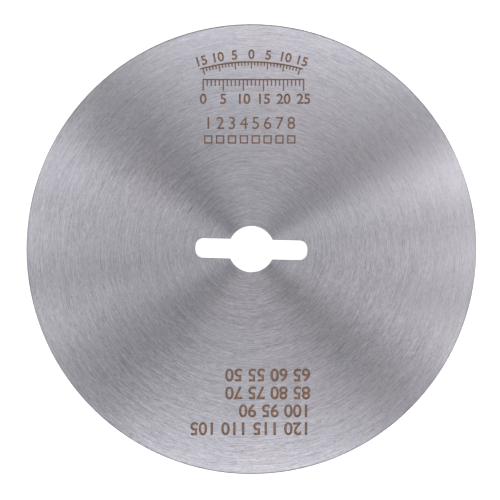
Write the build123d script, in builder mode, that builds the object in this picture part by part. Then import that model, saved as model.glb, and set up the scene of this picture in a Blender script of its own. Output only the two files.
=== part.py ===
from build123d import *
from math import radians, tan
import os

# Disc blank
diameter = 112.0
thickness = 1.2

# Cutting edge: one long bevel ground on the underside, and a short one honed on the marked face
bevel_angle = 18.0
hone_width = 0.25
hone_angle = 12.0

# Keyed cut-out for the drive: a centre hole with one slot straight across it
bore_diameter = 11.55
slot_length = 28.0
slot_width = 4.9
slot_end_flat = 0.9
deburr = 0.1

# Sizes that follow from those above
rim_radius = diameter / 2
hone_radius = rim_radius - hone_width
edge_height = thickness - hone_width * tan(radians(hone_angle))
bevel_radius = rim_radius - edge_height / tan(radians(bevel_angle))
slot_corner_radius = (slot_width - slot_end_flat) / 2

with BuildPart() as blade:
    # Half section from the centre axis to the cutting edge, underside at the bottom
    with BuildSketch(Plane.XZ):
        with BuildLine():
            Polyline(
                (0, 0),
                (bevel_radius, 0),
                (rim_radius, edge_height),
                (hone_radius, thickness),
                (0, thickness),
                close=True,
            )
        make_face()
    revolve(axis=Axis.Z)

    # Hole and slot are punched as one opening, with small rounds in the corners of the slot
    with BuildSketch():
        Circle(bore_diameter / 2)
        RectangleRounded(slot_length, slot_width, slot_corner_radius)
    extrude(amount=thickness, mode=Mode.SUBTRACT)

    # Both faces are deburred all round the opening
    flat_faces = blade.faces().filter_by(Plane.XY)
    opening_loops = [loop for face in flat_faces for loop in face.inner_wires()]
    chamfer([edge for loop in opening_loops for edge in loop.edges()], deburr)

blade.part.label = "blade"

os.makedirs("parts", exist_ok=True)
export_step(blade.part, "parts/blade.step")
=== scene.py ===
"""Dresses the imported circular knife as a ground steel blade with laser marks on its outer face.

The blade keeps its own solid and gets a steel finish whose grain runs in rings. The marks are
made here, as thin pieces that ride on the blade. A plain white studio holds the camera, the
lamps and the floor. All lengths are in metres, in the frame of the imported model: +Z points out
of the outer face, and +X runs along the slot.
"""
import logging
import math
from dataclasses import dataclass
from enum import Enum

import bpy
from mathutils import Color, Matrix, Vector


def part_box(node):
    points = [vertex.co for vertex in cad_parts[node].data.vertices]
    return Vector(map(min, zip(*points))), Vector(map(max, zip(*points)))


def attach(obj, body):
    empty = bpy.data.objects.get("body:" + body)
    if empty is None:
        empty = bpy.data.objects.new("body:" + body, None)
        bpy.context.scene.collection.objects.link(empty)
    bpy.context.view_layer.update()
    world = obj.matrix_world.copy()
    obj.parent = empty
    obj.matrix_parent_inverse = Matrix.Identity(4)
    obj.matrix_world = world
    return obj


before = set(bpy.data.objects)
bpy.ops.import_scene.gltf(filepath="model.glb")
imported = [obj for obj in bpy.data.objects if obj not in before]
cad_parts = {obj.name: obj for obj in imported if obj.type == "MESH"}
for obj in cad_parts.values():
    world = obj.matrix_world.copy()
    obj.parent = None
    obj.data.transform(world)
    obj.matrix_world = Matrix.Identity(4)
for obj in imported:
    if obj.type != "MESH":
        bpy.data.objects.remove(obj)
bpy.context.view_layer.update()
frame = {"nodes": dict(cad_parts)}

MM = 0.001
BODY = "root"
BLADE_NODE = "blade"
RIM_RADIUS = 56.0 * MM
UP = (0.0, 0.0, 1.0)
WHITE = (1.0, 1.0, 1.0, 1.0)
MATRIX_SIZE = 4
# The slot of the blade hangs a little clockwise of level in the photograph
SLOT_TURN = math.radians(1.4)
log = logging.getLogger("circular_knife")

Piece = bpy.types.Object
Source = bpy.types.NodeSocket | float | tuple


class Reading(Enum):
    """Which way up a mark reads, as a turn about the centre axis."""

    UPRIGHT = 0.0
    UPSIDE_DOWN = math.pi


class Lay(Enum):
    """Which way the lines of a grain run, by the name of their pattern."""

    RINGS = "ring_grain"
    SPOKES = "spoke_grain"


class Align(Enum):
    """Which end of a row of numerals its place gives."""

    START = "LEFT"
    MIDDLE = "CENTER"


class Weight(Enum):
    """How far the outlines of numerals are moved out, as a share of the size of the type."""

    # A bold figure 4 would close up, so rows with one are plain
    PLAIN = 0.0
    BOLD = 0.018


@dataclass(frozen=True)
class Paint:
    """A colour as a screen shows it, each channel from 0 to 1."""

    red: float
    green: float
    blue: float

    def linear(self) -> tuple[float, float, float]:
        """Give the colour in the linear light of the shaders."""
        return tuple(Color((self.red, self.green, self.blue)).from_srgb_to_scene_linear())


class Wiring:
    """Adds nodes to one node tree and joins them."""

    def __init__(self, tree: bpy.types.NodeTree) -> None:
        """Keep the tree that the nodes go into."""
        self.tree = tree

    def add(self, kind: str, inputs: dict[str | int, Source], **options: object) -> bpy.types.Node:
        """Add one node.

        Args:
            kind: The type of the node.
            inputs: What each input gets, a socket to join or a plain value.
            options: The settings of the node itself.

        Returns:
            The new node.
        """
        node = self.tree.nodes.new(kind)
        for option, value in options.items():
            setattr(node, option, value)
        for key, value in inputs.items():
            if isinstance(value, bpy.types.NodeSocket):
                self.tree.links.new(value, node.inputs[key])
            else:
                node.inputs[key].default_value = value
        return node

    def maths(self, operation: str, *values: Source) -> bpy.types.NodeSocket:
        """Work out a number from the numbers or sockets that go in, in order."""
        node = self.add("ShaderNodeMath", dict(enumerate(values)), operation=operation)
        return node.outputs[0]

    def vectors(self, operation: str, *values: Source) -> bpy.types.NodeSocket:
        """Work out a vector from the vectors or sockets that go in, in order."""
        node = self.add("ShaderNodeVectorMath", dict(enumerate(values)), operation=operation)
        return node.outputs["Vector"]

    def scaled(self, vector: Source, amount: Source) -> bpy.types.NodeSocket:
        """Scale a vector or a colour by a number."""
        node = self.add("ShaderNodeVectorMath", {0: vector, "Scale": amount}, operation="SCALE")
        return node.outputs["Vector"]

    def measure(self, operation: str, *values: Source) -> bpy.types.NodeSocket:
        """Work out a number from the vectors or sockets that go in, in order."""
        node = self.add("ShaderNodeVectorMath", dict(enumerate(values)), operation=operation)
        return node.outputs["Value"]

    def place(self) -> bpy.types.NodeSocket:
        """Give the place on the piece."""
        return self.add("ShaderNodeTexCoord", {}).outputs["Object"]

    def axis(self, vector: Source, letter: str) -> bpy.types.NodeSocket:
        """Give one part of a vector, by its letter."""
        return self.add("ShaderNodeSeparateXYZ", {0: vector}).outputs[letter]

    def patches(self, place: Source, size: float, detail: float = 1.0) -> bpy.types.NodeSocket:
        """Spread soft patches over the piece.

        Args:
            place: The place on the piece.
            size: How large a patch is.
            detail: How many finer layers of patches lie over it.

        Returns:
            The socket with their level, about a half.
        """
        noise = self.add(
            "ShaderNodeTexNoise", {"Vector": place, "Scale": 1.0 / size, "Detail": detail}
        )
        return noise.outputs[0]

    def ramp(self, value: Source, start: float, end: float) -> bpy.types.NodeSocket:
        """Turn a value into a soft step from 0 to 1.

        Args:
            value: The value.
            start: Where the step begins.
            end: Where it ends, which may be below the start.

        Returns:
            The socket with the step.
        """
        node = self.add(
            "ShaderNodeMapRange",
            {"Value": value, "From Min": start, "From Max": end},
            interpolation_type="SMOOTHSTEP",
        )
        return node.outputs[0]


def new_material(name: str) -> tuple[bpy.types.Material, Wiring]:
    """Make a material with no nodes.

    Args:
        name: The name of the material.

    Returns:
        The material and the wiring of its node tree.
    """
    material = bpy.data.materials.new(name)
    material.use_nodes = True
    material.node_tree.nodes.clear()
    return material, Wiring(material.node_tree)


def new_group(
    name: str, numbers: tuple[str, ...], results: dict[str, str], takes_normal: bool
) -> bpy.types.NodeTree:
    """Make a node group with its sockets and no nodes.

    Args:
        name: The name of the group.
        numbers: The names of the numbers that it takes.
        results: The type of each socket that it gives, by name.
        takes_normal: Whether it also takes a normal.

    Returns:
        The group.
    """
    group = bpy.data.node_groups.new(name, "ShaderNodeTree")
    for number in numbers:
        group.interface.new_socket(number, in_out="INPUT", socket_type="NodeSocketFloat")
    if takes_normal:
        group.interface.new_socket("Normal", in_out="INPUT", socket_type="NodeSocketVector")
    for result, kind in results.items():
        group.interface.new_socket(result, in_out="OUTPUT", socket_type=kind)
    return group


@dataclass(frozen=True)
class GrindPattern:
    """The lines that a grinding wheel leaves: arcs about the centre axis, or spokes."""

    lay: Lay
    detail: float = 2.0
    detail_strength: float = 0.6
    middle: float = 0.5

    def tree(self) -> bpy.types.NodeTree:
        """Build the node group, or give the one that is there.

        Returns:
            The group. It takes the width and length of a line in metres, how far it leans the
            face along the ring, how much it changes the tone and how strongly it shows. It gives
            the change of tone, the bare pattern from 0 to 1 and the new normal.
        """
        known = bpy.data.node_groups.get(self.lay.value)
        if known:
            return known
        group = new_group(
            self.lay.value,
            ("Line Width", "Line Length", "Lean", "Contrast", "Strength"),
            {
                "Tone": "NodeSocketFloat",
                "Pattern": "NodeSocketFloat",
                "Normal": "NodeSocketVector",
            },
            takes_normal=True,
        )
        self.fill(Wiring(group))
        return group

    def stretched(
        self, wiring: Wiring, flat: bpy.types.NodeSocket, given: bpy.types.NodeInputs
    ) -> bpy.types.NodeSocket:
        """Stretch the place on the face so that even noise in it turns into lines.

        Args:
            wiring: The wiring of the group.
            flat: The place on the face.
            given: What the group takes.

        Returns:
            The socket with the stretched place.
        """
        radius = wiring.measure("LENGTH", flat)
        if self.lay is Lay.RINGS:
            along = wiring.scaled(flat, wiring.maths("DIVIDE", 1.0, given["Line Length"]))
            across = wiring.maths("DIVIDE", radius, given["Line Width"])
        else:
            way = wiring.vectors("NORMALIZE", flat)
            along = wiring.scaled(way, wiring.maths("DIVIDE", RIM_RADIUS, given["Line Width"]))
            across = wiring.maths("DIVIDE", radius, given["Line Length"])
        return wiring.vectors("MULTIPLY_ADD", across, UP, along)

    def fill(self, wiring: Wiring) -> None:
        """Add the nodes of the group.

        Args:
            wiring: The wiring of the empty group.
        """
        given = wiring.add("NodeGroupInput", {}).outputs
        only_across = (1.0, 1.0, 0.0)
        flat = wiring.vectors("MULTIPLY", wiring.place(), only_across)
        pattern = wiring.add(
            "ShaderNodeTexNoise",
            {
                "Vector": self.stretched(wiring, flat, given),
                "Scale": 1.0,
                "Detail": self.detail,
                "Roughness": self.detail_strength,
            },
        ).outputs[0]
        swing = wiring.maths("SUBTRACT", pattern, self.middle)
        swing = wiring.maths("MULTIPLY", swing, given["Strength"])
        around = wiring.vectors("CROSS_PRODUCT", UP, flat)
        lean = wiring.scaled(
            wiring.vectors("NORMALIZE", around), wiring.maths("MULTIPLY", swing, given["Lean"])
        )
        wiring.add(
            "NodeGroupOutput",
            {
                "Tone": wiring.maths("MULTIPLY", swing, given["Contrast"]),
                "Pattern": pattern,
                "Normal": wiring.vectors("NORMALIZE", wiring.vectors("ADD", given["Normal"], lean)),
            },
        )


@dataclass(frozen=True)
class BladeForms:
    """Tells the forms of the blade apart by how far each face is tilted."""

    name: str = "blade_forms"
    level_from: float = 0.995
    level_to: float = 0.985
    steep_from: float = 0.75
    steep_to: float = 0.55

    def tree(self) -> bpy.types.NodeTree:
        """Build the node group, or give the one that is there.

        Returns:
            The group. It gives three masks: the slanted ground faces, the fine hone on the outer
            face alone, and the upright walls.
        """
        known = bpy.data.node_groups.get(self.name)
        if known:
            return known
        masks = dict.fromkeys(("Slant", "Hone", "Wall"), "NodeSocketFloat")
        group = new_group(self.name, (), masks, takes_normal=False)
        wiring = Wiring(group)
        normal = wiring.add("ShaderNodeTexCoord", {}).outputs["Normal"]
        height = wiring.axis(normal, "Z")
        flatness = wiring.maths("ABSOLUTE", height)
        wall = wiring.ramp(flatness, self.steep_from, self.steep_to)
        tilted = wiring.ramp(flatness, self.level_from, self.level_to)
        slant = wiring.maths("SUBTRACT", tilted, wall)
        upper = wiring.maths("GREATER_THAN", height, 0.0)
        wiring.add(
            "NodeGroupOutput",
            {"Slant": slant, "Hone": wiring.maths("MULTIPLY", slant, upper), "Wall": wall},
        )
        return group


@dataclass(frozen=True)
class Grain:
    """One size of grinding lines on a finish."""

    width: float
    length: float
    lean: float
    contrast: float
    lay: Lay = Lay.RINGS

    def place(self, wiring: Wiring, normal: Source, strength: Source) -> bpy.types.NodeOutputs:
        """Put the lines into a material.

        Args:
            wiring: The wiring of the material.
            normal: The normal that they lean.
            strength: How strongly they show, from 0 to 1.

        Returns:
            The change of tone, the bare pattern and the new normal, by name.
        """
        node = wiring.add("ShaderNodeGroup", {}, node_tree=GrindPattern(self.lay).tree())
        sizes = (self.width, self.length, self.lean, self.contrast)
        for socket, size in zip(node.inputs, sizes):
            socket.default_value = size
        for name, source in (("Strength", strength), ("Normal", normal)):
            if isinstance(source, bpy.types.NodeSocket):
                wiring.tree.links.new(source, node.inputs[name])
            else:
                node.inputs[name].default_value = source
        return node.outputs


@dataclass(frozen=True)
class Scratches:
    """Sparse bright scratches: the tops of a grain."""

    grain: Grain
    from_level: float
    to_level: float
    gain: float

    def place(self, wiring: Wiring, strength: Source) -> bpy.types.NodeSocket:
        """Put the scratches into a material.

        Args:
            wiring: The wiring of the material.
            strength: How strongly they show, from 0 to 1.

        Returns:
            The change of tone.
        """
        pattern = self.grain.place(wiring, UP, strength)["Pattern"]
        tops = wiring.ramp(pattern, self.from_level, self.to_level)
        return wiring.maths("MULTIPLY", wiring.maths("MULTIPLY", tops, self.gain), strength)


@dataclass(frozen=True)
class TintDrift:
    """A slow change between two tints, which leans to the second towards +X."""

    first: Paint
    second: Paint
    patch: float = 30.0 * MM
    lean: float = 0.20
    from_level: float = 0.42
    to_level: float = 0.62

    def place(self, wiring: Wiring) -> bpy.types.NodeSocket:
        """Put the tints into a material.

        Args:
            wiring: The wiring of the material.

        Returns:
            The colour.
        """
        place = wiring.place()
        patches = wiring.patches(place, self.patch)
        right = wiring.axis(place, "X")
        level = wiring.maths("MULTIPLY_ADD", right, self.lean / RIM_RADIUS, patches)
        share = wiring.ramp(level, self.from_level, self.to_level)
        first = Vector(self.first.linear())
        step = Vector(self.second.linear()) - first
        return wiring.vectors("MULTIPLY_ADD", share, tuple(step), tuple(first))


def drawn_metal(
    wiring: Wiring, colour: Source, roughness: Source, anisotropy: float, normal: Source
) -> None:
    """Finish a material as a metal whose gloss is drawn out across the rings.

    Args:
        wiring: The wiring of the material.
        colour: The colour of its gloss.
        roughness: How rough it is.
        anisotropy: How far the gloss is drawn out.
        normal: The normal of the face.
    """
    # A quarter turn lays the wide side of the gloss across the rings
    quarter_turn = 0.25
    tangent = wiring.add("ShaderNodeTangent", {}, direction_type="RADIAL", axis="Z")
    shader = wiring.add(
        "ShaderNodeBsdfPrincipled",
        {
            "Base Color": colour,
            "Metallic": 1.0,
            "Roughness": roughness,
            "Anisotropic": anisotropy,
            "Anisotropic Rotation": quarter_turn,
            "Tangent": tangent.outputs[0],
            "Normal": normal,
        },
    )
    wiring.add("ShaderNodeOutputMaterial", {"Surface": shader.outputs[0]})


@dataclass(frozen=True)
class GroundSteel:
    """Hardened steel whose flats were ground in rings and whose edge was ground crosswise."""

    name: str = "ground_steel"
    tints: TintDrift = TintDrift(
        first=Paint(red=0.624, green=0.620, blue=0.649),
        second=Paint(red=0.632, green=0.620, blue=0.648),
    )
    roughness: float = 0.30
    anisotropy: float = 0.9
    rings: tuple[Grain, ...] = (
        Grain(width=0.60 * MM, length=12.0 * MM, lean=0.02, contrast=0.15),
        Grain(width=0.12 * MM, length=7.0 * MM, lean=0.03, contrast=0.95),
        Grain(width=0.12 * MM, length=1.6 * MM, lean=0.02, contrast=0.90),
        Grain(width=0.11 * MM, length=0.6 * MM, lean=0.02, contrast=0.75),
    )
    scratches: Scratches = Scratches(
        grain=Grain(width=0.16 * MM, length=4.0 * MM, lean=0.0, contrast=0.0),
        from_level=0.62,
        to_level=0.72,
        gain=0.30,
    )
    spokes: Grain = Grain(
        width=0.12 * MM, length=3.0 * MM, lean=0.10, contrast=0.8, lay=Lay.SPOKES
    )
    # The grinding shows more strongly in some patches than in others
    patch: float = 22.0 * MM
    patch_floor: float = 0.62
    patch_swing: float = 0.72
    patch_lean: tuple[float, float, float] = (-0.12, -0.20, 0.0)
    # It also shows more strongly towards the front and the back of the blade
    ends_gain: float = 0.35
    # How much brighter the painted light makes the rim than the even share of its radius
    rim_gain: float = 0.22
    even_share: float = 0.12
    # The fine hone gets painted shade, darkest at the front and the back of the blade
    hone_loss_at_sides: float = 0.25
    hone_loss_at_ends: float = 0.95
    wall_loss: float = 0.25
    wall_roughness: float = 0.12

    def material(self) -> bpy.types.Material:
        """Build the material.

        Returns:
            The material, ready for a slot.
        """
        material, wiring = new_material(self.name)
        forms = wiring.add("ShaderNodeGroup", {}, node_tree=BladeForms().tree()).outputs
        off_flats = wiring.maths("ADD", forms["Slant"], forms["Wall"])
        on_flats = wiring.maths("SUBTRACT", 1.0, off_flats)
        on_flats = wiring.maths("MULTIPLY", on_flats, self.grind_strength(wiring))
        normal = wiring.add("ShaderNodeNewGeometry", {}).outputs["Normal"]
        # Painted shade on the hone, darkest at the front and the back of the blade
        tone = wiring.maths("MULTIPLY", forms["Hone"], self.on_hone(wiring))
        tone = wiring.maths("MULTIPLY_ADD", forms["Wall"], -self.wall_loss, tone)
        for grain, strength in (
            *((ring, on_flats) for ring in self.rings),
            (self.spokes, forms["Slant"]),
        ):
            lines = grain.place(wiring, normal, strength)
            tone = wiring.maths("ADD", tone, lines["Tone"])
            normal = lines["Normal"]
        tone = wiring.maths("ADD", tone, self.scratches.place(wiring, on_flats))
        # Painted light: the steel is painted brighter towards the rim
        tone = wiring.maths("ADD", tone, self.towards_rim(wiring))
        colour = wiring.scaled(self.tints.place(wiring), wiring.maths("ADD", tone, 1.0))
        roughness = wiring.maths("MULTIPLY_ADD", forms["Wall"], self.wall_roughness, self.roughness)
        drawn_metal(wiring, colour, roughness, self.anisotropy, normal)
        return material

    def grind_strength(self, wiring: Wiring) -> bpy.types.NodeSocket:
        """Vary how strongly the grinding shows.

        Args:
            wiring: The wiring of the material.

        Returns:
            The strength, about one.
        """
        place = wiring.place()
        patches = wiring.patches(place, self.patch)
        strength = wiring.maths("MULTIPLY_ADD", patches, self.patch_swing, self.patch_floor)
        lean = tuple(Vector(self.patch_lean) / RIM_RADIUS)
        strength = wiring.maths("ADD", strength, wiring.measure("DOT_PRODUCT", place, lean))
        return wiring.maths("MULTIPLY_ADD", self.towards_ends(wiring), self.ends_gain, strength)

    def towards_ends(self, wiring: Wiring) -> bpy.types.NodeSocket:
        """Tell how far front or back a place is, squared: 1 at those two ends of the rim."""
        share = wiring.maths("DIVIDE", wiring.axis(wiring.place(), "Y"), RIM_RADIUS)
        return wiring.maths("MULTIPLY", share, share)

    def on_hone(self, wiring: Wiring) -> bpy.types.NodeSocket:
        """Paint shade on the hone, darker by how far front or back it is.

        Args:
            wiring: The wiring of the material.

        Returns:
            The change of tone.
        """
        swing = self.hone_loss_at_sides - self.hone_loss_at_ends
        return wiring.maths(
            "MULTIPLY_ADD", self.towards_ends(wiring), swing, -self.hone_loss_at_sides
        )

    def towards_rim(self, wiring: Wiring) -> bpy.types.NodeSocket:
        """Paint the steel brighter outwards: painted light that rises towards the rim.

        Args:
            wiring: The wiring of the material.

        Returns:
            The change of tone.
        """
        share = wiring.scaled(wiring.place(), 1.0 / RIM_RADIUS)
        square = wiring.measure("DOT_PRODUCT", share, share)
        fourth = wiring.maths("MULTIPLY", square, square)
        return wiring.maths("MULTIPLY_ADD", fourth, self.rim_gain, -self.rim_gain * self.even_share)


@dataclass(frozen=True)
class LaserBrown:
    """Steel that a laser has scorched brown."""

    name: str = "laser_brown"
    tint: Paint = Paint(red=0.445, green=0.352, blue=0.298)
    roughness: float = 0.42
    anisotropy: float = 0.6
    grain: Grain = Grain(width=0.2 * MM, length=0.8 * MM, lean=0.10, contrast=1.2)

    def material(self) -> bpy.types.Material:
        """Build the material.

        Returns:
            The material, ready for a slot.
        """
        material, wiring = new_material(self.name)
        normal = wiring.add("ShaderNodeNewGeometry", {}).outputs["Normal"]
        lines = self.grain.place(wiring, normal, 1.0)
        colour = wiring.scaled(self.tint.linear(), wiring.maths("ADD", lines["Tone"], 1.0))
        drawn_metal(wiring, colour, self.roughness, self.anisotropy, lines["Normal"])
        return material


@dataclass(frozen=True)
class StudioWhite:
    """A matt white floor that takes a shadow near the blade and fades to plain white far off."""

    name: str = "studio_white"
    paint: Paint = Paint(red=0.91, green=0.91, blue=0.91)
    near_lift: float = 0.35
    far_lift: float = 1.0
    near: float = 0.12
    far: float = 0.45

    def material(self) -> bpy.types.Material:
        """Build the material.

        Returns:
            The material, ready for a slot.
        """
        material, wiring = new_material(self.name)
        path = wiring.add("ShaderNodeLightPath", {}).outputs
        seen = wiring.maths("MAXIMUM", path["Is Camera Ray"], path["Is Glossy Ray"])
        seen = wiring.maths("MAXIMUM", seen, path["Is Transmission Ray"])
        fade = wiring.ramp(wiring.measure("LENGTH", wiring.place()), self.near, self.far)
        lift = wiring.maths("MULTIPLY_ADD", fade, self.far_lift - self.near_lift, self.near_lift)
        matt = wiring.add("ShaderNodeBsdfDiffuse", {"Color": (*self.paint.linear(), 1.0)})
        strength = wiring.maths("MULTIPLY", seen, lift)
        glow = wiring.add("ShaderNodeEmission", {"Color": WHITE, "Strength": strength})
        both = wiring.add("ShaderNodeAddShader", {0: matt.outputs[0], 1: glow.outputs[0]})
        # From below the floor is clear, so that the underside of the blade can be seen
        below = wiring.add("ShaderNodeNewGeometry", {}).outputs["Backfacing"]
        clear = wiring.add("ShaderNodeBsdfTransparent", {})
        sides = wiring.add(
            "ShaderNodeMixShader", {0: below, 1: both.outputs[0], 2: clear.outputs[0]}
        )
        wiring.add("ShaderNodeOutputMaterial", {"Surface": sides.outputs[0]})
        return material


@dataclass
class Blade:
    """The blade itself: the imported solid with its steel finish."""

    node: str = BLADE_NODE
    finish: GroundSteel = GroundSteel()

    def dress(self, nodes: dict[str, Piece]) -> Piece:
        """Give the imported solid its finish.

        Args:
            nodes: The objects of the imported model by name.

        Returns:
            The dressed blade.
        """
        blade = nodes[self.node]
        blade.data.materials.clear()
        blade.data.materials.append(self.finish.material())
        return blade


@dataclass
class Laser:
    """Draws flat marks on the outer face and turns them into thin pieces of the blade."""

    face_height: float
    finish: bpy.types.Material
    skin: float = 0.05 * MM
    line: float = 0.34 * MM
    numeral_height_at_size_one: float = 0.682
    # With more steps to a curve, the outlines of some bold numerals cross themselves
    numeral_steps: int = 5
    spin_step: float = math.radians(1.0)

    def new_square(self) -> Piece:
        """Start a mark from a flat square of one metre, with nothing else selected.

        Returns:
            The square.
        """
        bpy.ops.object.select_all(action="DESELECT")
        bpy.ops.mesh.primitive_plane_add(size=1.0)
        return bpy.context.object

    def stroke(self, length: float) -> Piece:
        """Draw a straight stroke that starts at the origin and runs along +Y.

        Args:
            length: How long it is.

        Returns:
            The stroke, flat.
        """
        stroke = self.new_square()
        bpy.ops.object.mode_set(mode="EDIT")
        bpy.ops.transform.resize(value=(self.line, length, 1.0))
        bpy.ops.transform.translate(value=(0.0, length / 2, 0.0))
        bpy.ops.object.mode_set(mode="OBJECT")
        return stroke

    def strokes(self, *lengths: float) -> dict[float, Piece]:
        """Draw one stroke of each length, and give them by length."""
        return {length: self.stroke(length) for length in lengths}

    def arc(self, radius: float, half_angle: float) -> Piece:
        """Draw a line along a circle about the centre axis, middled on +Y.

        Args:
            radius: The radius of the middle of the line.
            half_angle: The angle from the middle of the arc to each end.

        Returns:
            The arc, flat.
        """
        steps = round(2 * half_angle / self.spin_step)
        segment = 2 * half_angle * radius / (steps + 1)
        arc = self.new_square()
        bpy.ops.object.mode_set(mode="EDIT")
        bpy.ops.transform.resize(value=(segment, self.line, 1.0))
        bpy.ops.transform.translate(value=(0.0, radius, 0.0))
        bpy.ops.mesh.select_all(action="DESELECT")
        bpy.ops.object.mode_set(mode="OBJECT")
        for edge in arc.data.edges:
            ends = [arc.data.vertices[corner] for corner in edge.vertices]
            edge.select = all(end.co.x > 0.0 for end in ends)
        bpy.ops.object.mode_set(mode="EDIT")
        bpy.ops.mesh.spin(
            steps=steps,
            angle=2 * half_angle * steps / (steps + 1),
            center=(0.0, 0.0, 0.0),
            axis=UP,
        )
        bpy.ops.object.mode_set(mode="OBJECT")
        return self.turned(arc, half_angle * steps / (steps + 1))

    def box(self, side: float) -> Piece:
        """Draw the outline of a square about the origin.

        Args:
            side: The outer side of the square.

        Returns:
            The outline, flat.
        """
        box = self.new_square()
        bpy.ops.object.mode_set(mode="EDIT")
        bpy.ops.transform.resize(value=(side, side, 1.0))
        bpy.ops.mesh.inset(thickness=self.line)
        bpy.ops.mesh.delete(type="FACE")
        bpy.ops.object.mode_set(mode="OBJECT")
        return box

    def numerals(
        self, text: str, height: float, align: Align = Align.MIDDLE, weight: Weight = Weight.BOLD
    ) -> Piece:
        """Write a row of numerals that stand on the X axis.

        Args:
            text: The numerals.
            height: How high they are.
            align: Which end of the row is at the origin.
            weight: How heavy they are.

        Returns:
            The numerals as a flat mesh.
        """
        bpy.ops.object.select_all(action="DESELECT")
        bpy.ops.object.text_add()
        row = bpy.context.object
        row.data.body = text
        row.data.align_x = align.value
        row.data.size = height / self.numeral_height_at_size_one
        row.data.offset = weight.value * row.data.size
        row.data.resolution_u = self.numeral_steps
        bpy.ops.object.convert(target="MESH")
        return bpy.context.object

    def placed(self, mark: Piece, place: Vector, turn: float = 0.0) -> Piece:
        """Copy a flat mark to its place, with its own mesh.

        Args:
            mark: The mark, drawn at the origin.
            place: Where its origin goes.
            turn: The angle that it turns anticlockwise about its own origin.

        Returns:
            The copy, with its place in its mesh.
        """
        copy = bpy.data.objects.new(mark.name, mark.data.copy())
        copy.data.transform(Matrix.Translation(place) @ Matrix.Rotation(turn, MATRIX_SIZE, "Z"))
        bpy.context.scene.collection.objects.link(copy)
        return copy

    def turned(self, mark: Piece, turn: float) -> Piece:
        """Turn a flat mark anticlockwise about the centre axis, in its mesh, and give it."""
        mark.data.transform(Matrix.Rotation(turn, MATRIX_SIZE, "Z"))
        return mark

    def around(self, mark: Piece, radius: float, angle: float) -> Piece:
        """Copy a flat mark to a circle, clockwise from +Y by the angle, standing outwards."""
        place = radius * Vector((math.sin(angle), math.cos(angle), 0.0))
        return self.placed(mark, place, -angle)

    def face_up(self, mark: Piece) -> None:
        """Turn over the faces of a flat mark that look down.

        Args:
            mark: The mark, which is the active object.
        """
        bpy.ops.object.mode_set(mode="EDIT")
        bpy.ops.mesh.select_mode(type="FACE")
        bpy.ops.mesh.select_all(action="DESELECT")
        bpy.ops.object.mode_set(mode="OBJECT")
        for face in mark.data.polygons:
            face.select = face.normal.z < 0.0
        bpy.ops.object.mode_set(mode="EDIT")
        bpy.ops.mesh.flip_normals()
        bpy.ops.mesh.select_mode(type="VERT")
        bpy.ops.object.mode_set(mode="OBJECT")

    def burn(self, name: str, marks: list[Piece], drawings: list[Piece], reading: Reading) -> Piece:
        """Join flat marks into one thin piece on the outer face.

        Args:
            name: The name of the piece.
            marks: The flat marks, in place.
            drawings: The marks that were only copied, which are thrown away.
            reading: Which way up the piece reads.

        Returns:
            The piece, which rides on the blade.
        """
        for drawing in drawings:
            bpy.data.objects.remove(drawing)
        bpy.ops.object.select_all(action="DESELECT")
        for mark in marks:
            mark.select_set(True)
        bpy.context.view_layer.objects.active = marks[0]
        bpy.ops.object.join()
        piece = bpy.context.object
        piece.name = piece.data.name = name
        self.face_up(piece)
        piece.location.z = self.face_height
        piece.rotation_euler.z = SLOT_TURN + reading.value
        bpy.ops.object.transform_apply()
        thickness = piece.modifiers.new("skin", "SOLIDIFY")
        thickness.thickness = self.skin
        thickness.offset = 0.0
        bpy.ops.object.modifier_apply(modifier=thickness.name)
        piece.data.materials.clear()
        piece.data.materials.append(self.finish)
        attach(piece, BODY)
        return piece


@dataclass
class ArcScale:
    """A scale of degrees that follows the rim above the opening."""

    radius: float = 46.6 * MM
    half_degrees: int = 15
    numbered_every: int = 5
    tick: float = 0.9 * MM
    long_tick: float = 1.7 * MM
    numeral_height: float = 2.2 * MM
    numeral_gap: float = 0.8 * MM
    end_degrees: int = 1

    def build(self, laser: Laser) -> Piece:
        """Draw the scale.

        Args:
            laser: What draws it.

        Returns:
            The piece.
        """
        ticks = laser.strokes(self.tick, self.long_tick)
        marks = [laser.arc(self.radius, math.radians(self.half_degrees + self.end_degrees))]
        rows = []
        for degrees in range(-self.half_degrees, self.half_degrees + 1):
            angle = math.radians(degrees)
            numbered = degrees % self.numbered_every == 0
            length = self.long_tick if numbered else self.tick
            marks.append(laser.around(ticks[length], self.radius - length, angle))
            if numbered:
                row = laser.numerals(str(abs(degrees)), self.numeral_height)
                marks.append(laser.around(row, self.radius + self.numeral_gap, angle))
                rows.append(row)
        return laser.burn("arc_scale", marks, [*ticks.values(), *rows], Reading.UPRIGHT)


@dataclass
class StraightRule:
    """A short rule in millimetres under the arc scale."""

    left: float = -12.0 * MM
    top: float = 42.2 * MM
    length: int = 25
    numbered_every: int = 5
    tick: float = 1.6 * MM
    long_tick: float = 2.8 * MM
    numeral_height: float = 2.4 * MM
    numeral_gap: float = 0.8 * MM

    def build(self, laser: Laser) -> Piece:
        """Draw the rule.

        Args:
            laser: What draws it.

        Returns:
            The piece.
        """
        ticks = laser.strokes(self.tick, self.long_tick)
        base = laser.stroke(self.length * MM + laser.line)
        start = Vector((self.left - laser.line / 2, self.top, 0.0))
        marks = [laser.placed(base, start, -math.pi / 2)]
        rows = []
        for step in range(self.length + 1):
            place = Vector((self.left + step * MM, self.top, 0.0))
            numbered = step % self.numbered_every == 0
            length = self.long_tick if numbered else self.tick
            marks.append(laser.placed(ticks[length], place - Vector((0.0, length, 0.0))))
            if numbered:
                row = laser.numerals(str(step), self.numeral_height)
                drop = self.long_tick + self.numeral_gap + self.numeral_height
                marks.append(laser.placed(row, place - Vector((0.0, drop, 0.0))))
                rows.append(row)
        drawings = [base, *ticks.values(), *rows]
        return laser.burn("straight_rule", marks, drawings, Reading.UPRIGHT)


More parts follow.
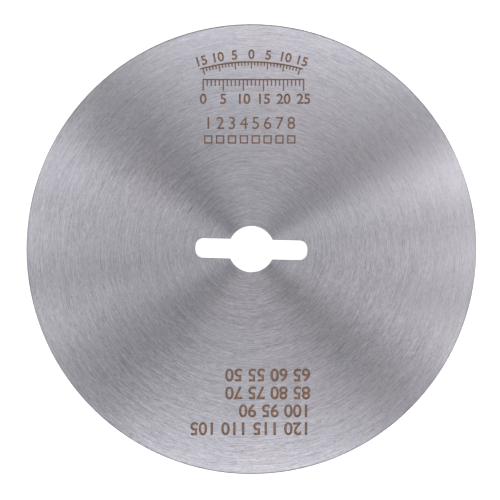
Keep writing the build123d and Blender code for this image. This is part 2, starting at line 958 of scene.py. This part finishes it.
@dataclass
class GrindTally:
    """A row of numbered boxes, one to tick for each time that the edge is ground again."""

    count: int = 8
    middle: float = -0.4 * MM
    baseline: float = 29.9 * MM
    pitch: float = 2.95 * MM
    numeral_height: float = 3.0 * MM
    box_side: float = 2.1 * MM
    box_drop: float = 2.6 * MM

    def build(self, laser: Laser) -> Piece:
        """Draw the numbers and the boxes.

        Args:
            laser: What draws them.

        Returns:
            The piece.
        """
        box = laser.box(self.box_side)
        marks, rows = [], []
        for number in range(1, self.count + 1):
            across = self.middle + (number - (self.count + 1) / 2) * self.pitch
            row = laser.numerals(str(number), self.numeral_height, weight=Weight.PLAIN)
            marks.append(laser.placed(row, Vector((across, self.baseline, 0.0))))
            marks.append(laser.placed(box, Vector((across, self.baseline - self.box_drop, 0.0))))
            rows.append(row)
        return laser.burn("grind_tally", marks, [box, *rows], Reading.UPRIGHT)


@dataclass
class SizeTable:
    """Rows of plain sizes under the opening, which read from the other side of the blade."""

    start: float = -14.7 * MM
    baselines: tuple[float, ...] = (43.2 * MM, 38.75 * MM, 34.3 * MM, 29.85 * MM)
    rows: tuple[str, ...] = ("120 115 110 105", "100 95 90", "85 80 75 70", "65 60 55 50")
    numeral_height: float = 3.0 * MM

    def build(self, laser: Laser) -> Piece:
        """Write the rows.

        Args:
            laser: What writes them.

        Returns:
            The piece.
        """
        marks, drawings = [], []
        for text, baseline in zip(self.rows, self.baselines):
            row = laser.numerals(text, self.numeral_height, Align.START)
            marks.append(laser.placed(row, Vector((self.start, baseline, 0.0))))
            drawings.append(row)
        return laser.burn("size_table", marks, drawings, Reading.UPSIDE_DOWN)


class LampKind(Enum):
    """A kind of lamp: the width and height of its face, and how far off it hangs."""

    PANEL = (0.26, 0.21, 0.32)
    WING = (0.15, 0.21, 0.39)
    STRIP = (0.045, 0.30, 0.32)


@dataclass(frozen=True)
class Softbox:
    """A lamp with a plain face that is turned to the blade."""

    name: str
    kind: LampKind
    azimuth: float
    elevation: float
    power: float

    def hang(self) -> Piece:
        """Hang the lamp and turn it to the blade.

        Returns:
            The lamp.
        """
        data = bpy.data.lights.new(self.name, "AREA")
        data.shape = "RECTANGLE"
        data.size, data.size_y, distance = self.kind.value
        data.energy = self.power
        lamp = bpy.data.objects.new(self.name, data)
        bpy.context.scene.collection.objects.link(lamp)
        turn = math.radians(self.azimuth)
        rise = math.radians(self.elevation)
        across = math.cos(rise)
        lamp.location = distance * Vector(
            (math.cos(turn) * across, math.sin(turn) * across, math.sin(rise))
        )
        lamp.rotation_euler = (-lamp.location).to_track_quat("-Z", "Y").to_euler()
        lamp.visible_camera = False
        return lamp


@dataclass
class Studio:
    """The white floor, the camera straight above the blade, and the soft lamps round it."""

    lens: float = 80.0
    sensor: float = 36.0
    picture_pixels: float = 500.0
    # Where the blade lies in the photograph, counted from the middle of it
    blade_radius_pixels: float = 225.01
    blade_right_pixels: float = 1.384
    blade_up_pixels: float = 0.907
    floor_side: float = 12.0
    # The floor lies a hair under the blade, so that the two faces are never one
    floor_gap: float = 0.05 * MM
    horizon_light: float = 1.0
    zenith_light: float = 0.28
    horizon_rise: float = 0.30
    zenith_rise: float = 0.90
    lamps: tuple[Softbox, ...] = (
        Softbox("right_back_strip", LampKind.STRIP, azimuth=21.0, elevation=54.0, power=0.084),
        Softbox("right_strip", LampKind.STRIP, azimuth=358.5, elevation=54.0, power=0.057),
        Softbox("right_front_strip", LampKind.STRIP, azimuth=337.0, elevation=54.0, power=0.055),
        Softbox("left_back_strip", LampKind.STRIP, azimuth=157.5, elevation=54.0, power=0.066),
        Softbox("left_strip", LampKind.STRIP, azimuth=177.5, elevation=54.0, power=0.046),
        Softbox("left_front_strip", LampKind.STRIP, azimuth=201.5, elevation=54.0, power=0.046),
        Softbox("back_panel", LampKind.PANEL, azimuth=85.0, elevation=51.0, power=0.37),
        Softbox("back_right_wing", LampKind.WING, azimuth=38.0, elevation=40.0, power=0.094),
        Softbox("back_left_wing", LampKind.WING, azimuth=132.0, elevation=40.0, power=0.094),
        Softbox("front_panel", LampKind.PANEL, azimuth=271.0, elevation=46.0, power=0.53),
        Softbox("front_left_wing", LampKind.WING, azimuth=226.0, elevation=36.0, power=0.15),
        Softbox("front_right_wing", LampKind.WING, azimuth=316.0, elevation=36.0, power=0.15),
    )

    def build(self) -> None:
        """Lay the floor, hang the camera and the lamps, and fill the room with light."""
        self.lay_floor()
        self.hang_camera()
        for lamp in self.lamps:
            lamp.hang()
        self.fill_room()

    def lay_floor(self) -> None:
        """Lay the floor that the blade lies on."""
        bpy.ops.object.select_all(action="DESELECT")
        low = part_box(BLADE_NODE)[0].z - self.floor_gap
        bpy.ops.mesh.primitive_plane_add(size=self.floor_side, location=(0.0, 0.0, low))
        bpy.ops.object.transform_apply()
        floor = bpy.context.object
        floor.name = "studio_floor"
        floor.data.materials.append(StudioWhite().material())

    def hang_camera(self) -> None:
        """Hang the camera so that the blade lies in the picture as in the photograph."""
        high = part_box(BLADE_NODE)[1]
        pixel = high.x / self.blade_radius_pixels
        data = bpy.data.cameras.new("camera")
        data.lens = self.lens
        data.sensor_width = self.sensor
        camera = bpy.data.objects.new("camera", data)
        bpy.context.scene.collection.objects.link(camera)
        camera.location = (
            -self.blade_right_pixels * pixel,
            -self.blade_up_pixels * pixel,
            high.z + self.picture_pixels * self.lens / self.sensor * pixel,
        )
        camera.rotation_euler.z = SLOT_TURN
        bpy.context.scene.camera = camera

    def fill_room(self) -> None:
        """Fill the room with even light that is white at the horizon and faint overhead."""
        world = bpy.data.worlds.new("room")
        world.use_nodes = True
        world.node_tree.nodes.clear()
        wiring = Wiring(world.node_tree)
        way = wiring.add("ShaderNodeTexCoord", {}).outputs["Generated"]
        fade = wiring.ramp(wiring.axis(way, "Z"), self.horizon_rise, self.zenith_rise)
        strength = wiring.maths(
            "MULTIPLY_ADD", fade, self.zenith_light - self.horizon_light, self.horizon_light
        )
        # The camera sees plain white behind everything
        seen = wiring.add("ShaderNodeLightPath", {}).outputs["Is Camera Ray"]
        strength = wiring.maths("MAXIMUM", strength, seen)
        light = wiring.add("ShaderNodeBackground", {"Color": WHITE, "Strength": strength})
        wiring.add("ShaderNodeOutputWorld", {"Surface": light.outputs[0]})
        bpy.context.scene.world = world


def main() -> None:
    """Dress the blade, mark it and set up the studio."""
    logging.basicConfig(level=logging.INFO, format="%(message)s")
    bpy.context.scene.view_settings.view_transform = "Standard"
    blade = Blade().dress(frame["nodes"])
    log.info("dressed %s", blade.name)
    laser = Laser(face_height=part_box(BLADE_NODE)[1].z, finish=LaserBrown().material())
    for mark in (ArcScale(), StraightRule(), GrindTally(), SizeTable()):
        piece = mark.build(laser)
        log.info("burnt %s, %d faces", piece.name, len(piece.data.polygons))
    Studio().build()
    log.info("set up the studio")


if __name__ == "__main__":
    main()
